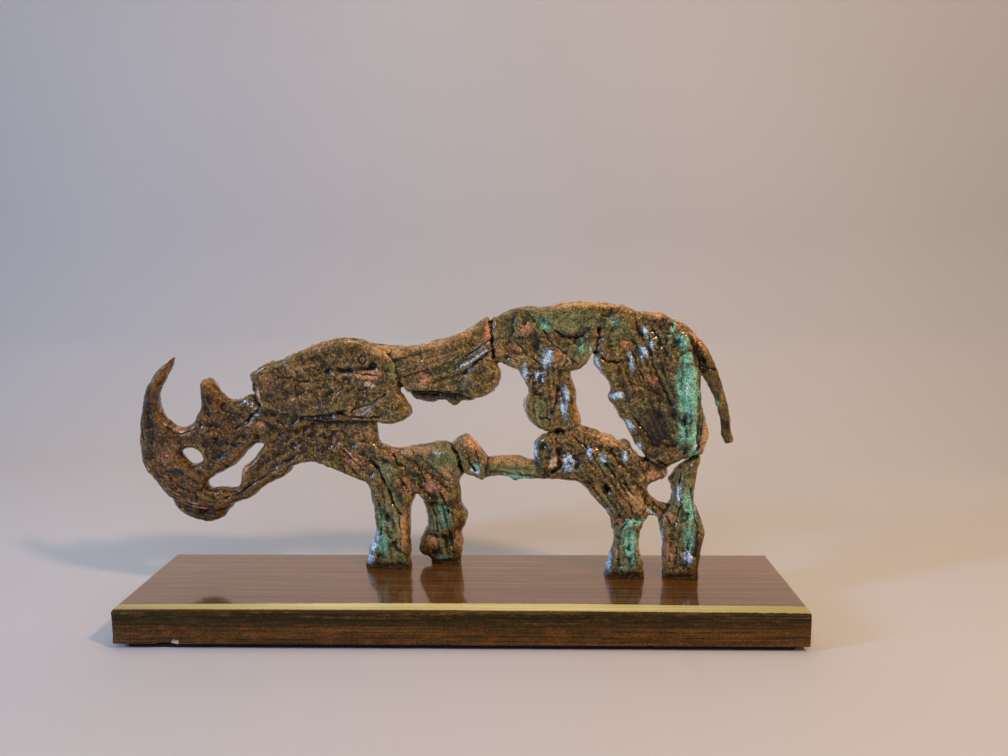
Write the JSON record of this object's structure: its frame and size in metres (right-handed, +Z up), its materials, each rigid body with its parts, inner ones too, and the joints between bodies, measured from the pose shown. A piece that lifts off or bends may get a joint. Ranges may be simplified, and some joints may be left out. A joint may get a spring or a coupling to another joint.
{
  "type": "rhinoceros figurine",
  "caption": "Slab-built bronze rhinoceros with an openwork body, head low and curved horn raised, standing on a stained wooden board with a felt sheet underneath.",
  "frame": {"origin": "centre of the felt sheet's underside, on the surface the piece stands on", "axes": "+X along the board towards the tail, +Y away from the viewer, +Z up; the head is at -X"},
  "size_m": [0.3951, 0.089, 0.187],
  "materials": {
    "patinated_bronze": "cast bronze with a brown, ochre, green and blue chemical patina under a glossy clear lacquer",
    "stained_pine": "softwood board stained dark brown under gloss varnish, worn pale along the front top edge",
    "black_felt": "black felt"
  },
  "bodies": {
    "root": {"rhinoceros": "patinated_bronze", "base_plank": "stained_pine", "felt_sheet": "black_felt"}
  },
  "joints": []
}
